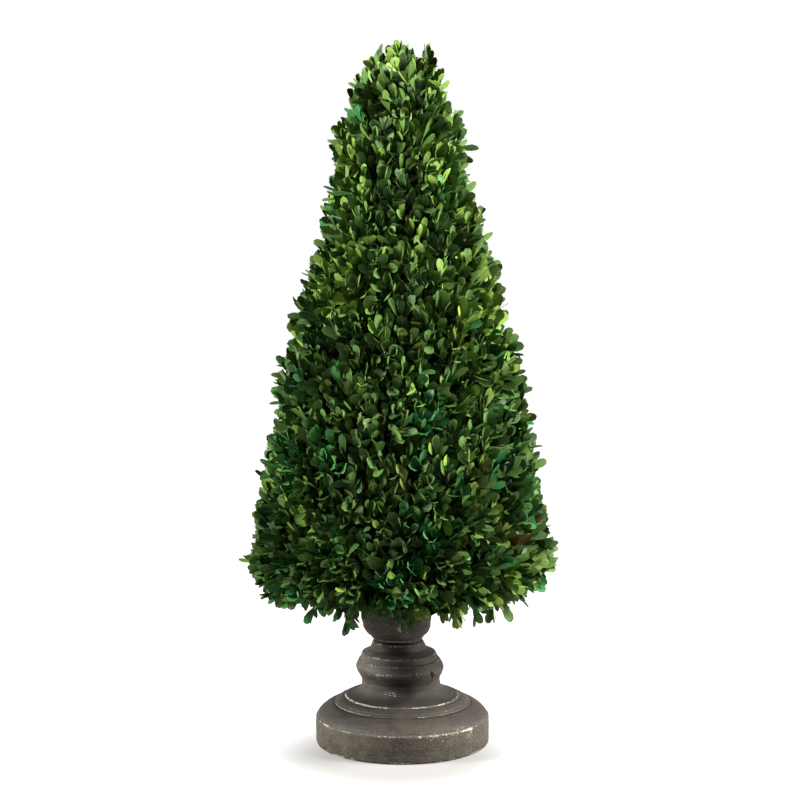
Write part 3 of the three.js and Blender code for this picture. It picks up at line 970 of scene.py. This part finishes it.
def turned_surface(outline):
    """Points, wear with painted edge highlights, and grime with painted shade, of the whole turned
    pedestal, (outline point, segment).
    """
    edge, hollow = edge_signs(outline)
    for bead in BEADS:
        apart = np.hypot(*(outline - np.array(bead) * MM).T)
        edge = np.maximum(edge, BEAD_WEAR_AND_GLINT * near(apart, 0, BEAD_WIDTH))
    edge = edge[:, None]
    radius, height = outline[:, :1], outline[:, 1:]
    angle = full_turn(TURNED_SEGMENTS)
    smooth = cylindrical(angle, radius, height)
    patches = noise(smooth, 0.022, 40)
    flakes = noise(smooth, 0.006, 41)
    grains = noise(smooth, 0.0025, 42)

    chips = edge * np.maximum(0, 0.55 * patches + 0.75 * flakes - 0.22) * 1.5 * MM
    dents = 0.16 * MM * patches + 0.07 * MM * flakes
    gouge = near_angle(angle, CHIP_ANGLE - (height - CHIP_HEIGHT) * CHIP_SLANT, CHIP_WIDTH)
    gouge = gouge * near(height, CHIP_HEIGHT, CHIP_REACH, power=4) * (radius > 0.04)
    gouge = smoothstep(0.25, 0.6, gouge)
    offset = dents - chips - CHIP_DEPTH * gouge

    # Edges rubbed pale: wear, and partly painted highlights along the edges.
    wear = edge * np.clip(0.52 + 0.50 * patches + 0.55 * flakes, 0, 1)
    rubbed = near_angle(angle, RUBBED_ANGLE, 0.62) * band(height, *PLINTH_SIDE) * (radius > 0.088)
    wear = wear * (1 - 0.3 * rubbed) + rubbed * np.clip(0.26 + 0.3 * flakes + 0.3 * grains, 0, 0.6)
    scratched = near_angle(angle, SCRATCH_ANGLE, 0.30) * near(height, SCRATCH_HEIGHT, SCRATCH_REACH)
    slanted = np.sin((height + 0.004 * angle) * TAU / SCRATCH_SPACING)
    scratches = scratched * np.clip(1.4 * slanted + 1.0 * flakes, 0, 1)
    wear = wear + scratches
    # Painted shade where the crown hides the light: the neck and knop, most down the neck's front, and the
    # plinth's top.
    shade = band(height, *NECK_AND_KNOP)
    neck_front_shade = near_angle(angle, NECK_FRONT_SHADE_ANGLE, 0.55) * shade
    on_top = band(height, *PLINTH_TOP)
    grime = hollow[:, None] * (0.17 + 0.21 * patches) + shade * (0.04 + 0.18 * patches)
    grime = grime + 0.80 * neck_front_shade + (0.72 + 0.10 * patches) * on_top
    grime = grime * (1 - np.clip(0.8 * edge + scratches, 0, 1)) + 3 * gouge

    along, rise = unit(np.gradient(outline, axis=0)).T[..., None]
    radius = np.maximum(0, radius + rise * offset)
    height = np.where(height < OUTLINE_STEP, height, height - along * offset)
    points = cylindrical(angle, radius, height)
    points[..., 0] += lean_offset(height)
    return points, wear, np.clip(grime, 0, 1)


def turned_piece(name, points, **values):
    """One solid of the rows of a turned surface, with the named values of its points for its material."""
    rows, segments = points.shape[:2]
    poles = [points[0].mean(axis=0), points[-1].mean(axis=0)]
    vertices = np.concatenate([points.reshape(-1, 3), poles])
    faces = ring_faces(rows, segments)
    bottom, top = rows * segments, rows * segments + 1
    last = (rows - 1) * segments
    for j in range(segments):
        k = (j + 1) % segments
        faces.append((bottom, k, j))
        faces.append((top, last + j, last + k))
    piece = joined_mesh(name, vertices[None], faces)
    for label, value in values.items():
        flat = np.concatenate([value.ravel(), [value[0].mean(), value[-1].mean()]])
        attribute = piece.data.attributes.new(label, "FLOAT", "POINT")
        attribute.data.foreach_set("value", flat.astype(np.float32))
    return piece


def build_pedestal():
    """One detailed piece for each turned CAD node, all cut from one continuous surface."""
    outline = soften(pedestal_outline())
    points, wear, grime = turned_surface(outline)
    joints = [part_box(name)[1][2] for name in PEDESTAL_NODES[:-1]]
    cuts = [0] + [int(np.argmax(outline[:, 1] > joint)) for joint in joints] + [len(outline) - 1]
    material = pedestal_material()
    for node, first, last in zip(PEDESTAL_NODES, cuts[:-1], cuts[1:]):
        rows = slice(first, last + 1)
        piece = turned_piece(f"{node}_turned", points[rows], wear=wear[rows], grime=grime[rows])
        declare(piece, material, "pedestal_wood", node)


FILL_RINGS = 14
FILL_SEGMENTS = 48
TUFT_SIZE = 0.006
TUFT_DEPTH = 1.2 * MM


def build_cup_fill():
    """A lumpy mossy plug in place of the cup's plain fill."""
    low, high = (np.array(corner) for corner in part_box("cup_fill"))
    centre = (low + high) / 2
    radius = (high[1] - low[1]) / 2
    rows = [(radius * 0.8, low[2]), (radius, low[2] + 6 * MM)]
    rows += [(radius * share, high[2]) for share in np.linspace(1, 0.06, FILL_RINGS)]
    rows = np.array(rows)
    points = centre * (1, 1, 0) + cylindrical(full_turn(FILL_SEGMENTS), rows[:, :1], rows[:, 1:])
    on_top = rows[:, 1:] > high[2] - 1e-6
    points[..., 2] += on_top * (TUFT_DEPTH * noise(points, TUFT_SIZE, 50) - TUFT_DEPTH)
    declare(turned_piece("cup_moss", points), moss_material(), "fill", "cup_fill")


# ---------------- stem and crown

BARK_RINGS = 150
BARK_SEGMENTS = 40
RIDGE_DEPTH = 0.09  # as a share of the stem's radius


def build_stem():
    """The stem's bark: ridges that run up it, over the CAD stem's own taper, flare and bend."""
    heights = np.linspace(STEM_HEIGHTS[0], STEM_HEIGHTS[-1], BARK_RINGS)
    centres = stem_centre(heights)
    radii = np.interp(heights, STEM_HEIGHTS, STEM_RADII)
    ring = radial(full_turn(BARK_SEGMENTS))
    points = centres[:, None] + ring * radii[:, None, None]
    squashed = points * (1, 1, 0.25)
    ridges = noise(squashed, 0.0028, 60) + 0.6 * noise(squashed, 0.0012, 61)
    points = points + ring * (RIDGE_DEPTH * radii[:, None] * (ridges - 0.9))[..., None]
    bark = bark_material("stem_bark", colour(0.19, 0.14, 0.085), colour(0.06, 0.042, 0.025), 180.0)
    declare(turned_piece("stem_bark", points), bark, "bark", "stem")


def build_crown():
    outline = generatrix()
    boughs = grow_boughs(outline)
    branchlets = grow_branchlets(boughs, outline)
    sprigs, spray = grow_sprigs(branchlets, outline)
    bark = bark_material("bough_bark", colour(0.15, 0.12, 0.07), colour(0.05, 0.038, 0.022), 260.0)
    green_bark = bark_material("sprig_bark", colour(0.13, 0.15, 0.05), colour(0.06, 0.055, 0.022), 400.0)
    declare(tubes("boughs", boughs, 12, 8, relief=0.25), bark, "bark", *MASSES)
    declare(tubes("branchlets", branchlets, 7, 6, relief=0.2), bark, "bark", *MASSES)
    declare(tubes("sprig_stems", sprigs, 4, 3), green_bark, "bark", *MASSES)
    build_leaves(sprigs, spray, branchlets)


# ---------------- stage

CAMERA_DISTANCE = 2.5
CAMERA_HEIGHT = 0.717
CAMERA_LENS = 105.35
AIM = (-0.0027, 0.0, 0.3775)
LIT_PLACE = (0.0, 0.0, 0.4)
FLOOR_REACH = 40.0
# The floor's glow is dimmest round this point: a painted shadow, darkest under the plinth's front edge.
PAINTED_SHADOW_CENTRE = (-0.004, -0.062)  # the floor is darkest under the plinth's front edge
PAINTED_SHADOW_RADII = (0.07, 0.17)
FLOOR_GLOW = (0.28, 0.98)  # within the first radius and beyond the second
OVERHEAD = 0.14
BEHIND_CAMERA = 0.05
WHITE = colour(1.0, 1.0, 1.0)

# Softboxes: name, place, width, watts and tone
SOFTBOXES = (
    ("key", (1.38, -0.40, 1.52), 0.6, 214.0, (1.0, 0.98, 0.92)),
    ("low", (1.65, -0.28, 0.55), 0.5, 46.0, (1.0, 0.98, 0.92)),
    ("fill", (-1.62, -0.36, 1.00), 0.6, 164.0, (1.0, 1.0, 0.94)),
)


def add_aimed(data, location, target):
    """Stands a camera or light at a place, turned towards a target."""
    stand = bpy.data.objects.new(data.name, data)
    stand.location = location
    stand.rotation_euler = (Vector(target) - stand.location).to_track_quat("-Z", "Y").to_euler()
    bpy.context.collection.objects.link(stand)
    return stand


def add_camera():
    camera = bpy.data.cameras.new("camera")
    camera.lens = CAMERA_LENS
    bpy.context.scene.camera = add_aimed(camera, (0, -CAMERA_DISTANCE, CAMERA_HEIGHT), AIM)


def add_softbox(name, location, size, power, tone):
    light = bpy.data.lights.new(name, "AREA")
    light.shape = "DISK"
    light.size = size
    light.energy = power
    light.color = tone
    add_aimed(light, location, LIT_PLACE)


def add_floor():
    """A pale floor that glows softly, more so away from the object, so that it meets the white world; the
    dimmer glow near the object paints its soft shadow.
    """
    corners = FLOOR_REACH * np.array([[(-1, -1, 0), (1, -1, 0), (1, 1, 0), (-1, 1, 0)]])
    floor = joined_mesh("floor", corners, [(0, 1, 2, 3)])
    floor.location = (*PAINTED_SHADOW_CENTRE, -0.0002)
    nodes = Nodes(bpy.data.materials.new("floor"))
    distance = nodes.add("ShaderNodeVectorMath", {0: nodes.place()}, operation="LENGTH").outputs["Value"]
    floor.data.materials.append(nodes.finish({
        "Base Color": colour(0.098, 0.095, 0.094),
        "Roughness": 0.9,
        "Specular IOR Level": 0.0,
        "Emission Color": WHITE,
        "Emission Strength": nodes.ramp(distance, *PAINTED_SHADOW_RADII, *FLOOR_GLOW),
    }))


def add_world():
    """White round the horizon and below, dimmer overhead and on the camera's side."""
    nodes = Nodes(bpy.data.worlds.new("studio"))
    axes = nodes.add("ShaderNodeSeparateXYZ", {0: nodes.place("Generated")}).outputs
    up = nodes.ramp(axes["Z"], 0.16, 0.55, 1.0, OVERHEAD)
    ahead = nodes.ramp(axes["Y"], -0.8, -0.1, BEHIND_CAMERA, 1.0)
    strength = nodes.math("MULTIPLY", up, ahead)
    scene = bpy.context.scene
    scene.world = nodes.finish({"Color": WHITE, "Strength": strength}, shader="Background")
    scene.view_settings.view_transform = "Standard"


LEAF = leaf_template()
LEAF_MATERIALS = {name: leaf_material(name, base) for name, base, _, _ in TINTS}

add_camera()
add_world()
add_floor()
for softbox in SOFTBOXES:
    add_softbox(*softbox)

build_pedestal()
build_cup_fill()
build_stem()
build_crown()
